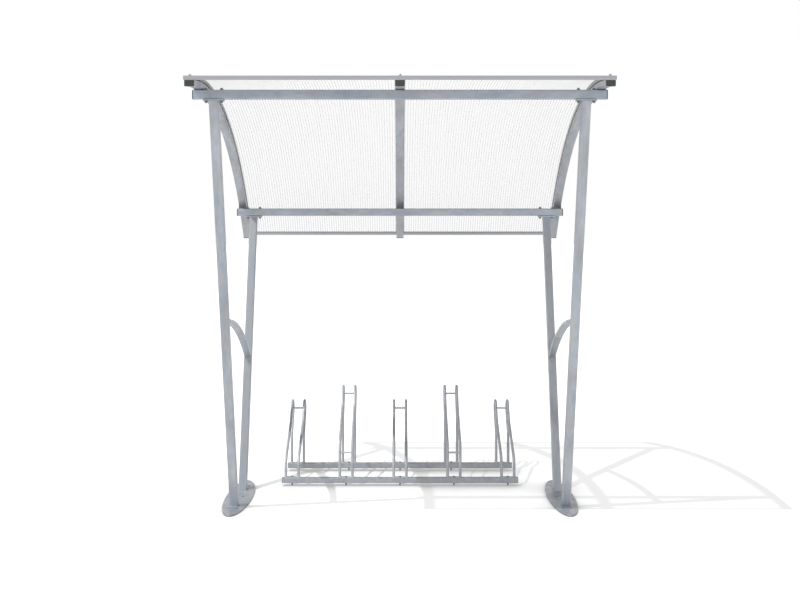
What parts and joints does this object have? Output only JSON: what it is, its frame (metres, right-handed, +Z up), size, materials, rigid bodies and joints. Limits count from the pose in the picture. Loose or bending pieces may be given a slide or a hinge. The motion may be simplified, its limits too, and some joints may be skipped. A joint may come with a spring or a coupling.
{
  "type": "bike shelter",
  "caption": "Open bike shelter: two leaning V frames of square tube on oval foot plates carry a curved multiwall roof over a low and high wheel rack.",
  "frame": {"origin": "on the ground, under the middle of the bounding box", "axes": "+X to the right seen from the open front, +Y from the front to the back, +Z up"},
  "size_m": [2.224, 2.2058, 2.5011],
  "materials": {
    "galvanised_steel": "hot-dip galvanised, matt with faint spangle",
    "galvanised_rack": "hot-dip galvanised, smooth",
    "zinc_bolts": "zinc plated, dull",
    "aluminium_bar": "mill finish",
    "black_plastic": "moulded plastic and rubber, matt",
    "multiwall_sheet": "clear to opal multiwall polycarbonate"
  },
  "bodies": {
    "root": {"front_edge_bar": "aluminium_bar", "front_purlin": "galvanised_steel", "front_purlin_bolts": "zinc_bolts", "front_purlin_caps": "black_plastic", "front_rib_caps": "black_plastic", "front_rib_pads": "black_plastic", "left_brace": "galvanised_steel", "left_cover_strip": "aluminium_bar", "left_foot_plate": "galvanised_steel", "left_front_flange": "galvanised_steel", "left_front_leg": "galvanised_steel", "left_gasket": "black_plastic", "left_rear_flange": "galvanised_steel", "left_rear_leg": "galvanised_steel", "left_rib": "galvanised_steel", "left_roof_sheet": "multiwall_sheet", "left_side_bar": "aluminium_bar", "middle_cover_strip": "aluminium_bar", "middle_gasket": "black_plastic", "middle_rib": "galvanised_steel", "rack_front_bolts": "zinc_bolts", "rack_front_rail": "galvanised_rack", "rack_rear_bolts": "zinc_bolts", "rack_rear_rail": "galvanised_rack", "rear_edge_bar": "aluminium_bar", "rear_purlin": "galvanised_steel", "rear_purlin_bolts": "zinc_bolts", "rear_purlin_caps": "black_plastic", "rear_rib_caps": "black_plastic", "rear_rib_cleats": "black_plastic", "right_brace": "galvanised_steel", "right_cover_strip": "aluminium_bar", "right_foot_plate": "galvanised_steel", "right_front_flange": "galvanised_steel", "right_front_leg": "galvanised_steel", "right_gasket": "black_plastic", "right_rear_flange": "galvanised_steel", "right_rear_leg": "galvanised_steel", "right_rib": "galvanised_steel", "right_roof_sheet": "multiwall_sheet", "right_side_bar": "aluminium_bar", "wheel_holder_1": "galvanised_rack", "wheel_holder_2": "galvanised_rack", "wheel_holder_3": "galvanised_rack", "wheel_holder_4": "galvanised_rack", "wheel_holder_5": "galvanised_rack"}
  },
  "joints": []
}
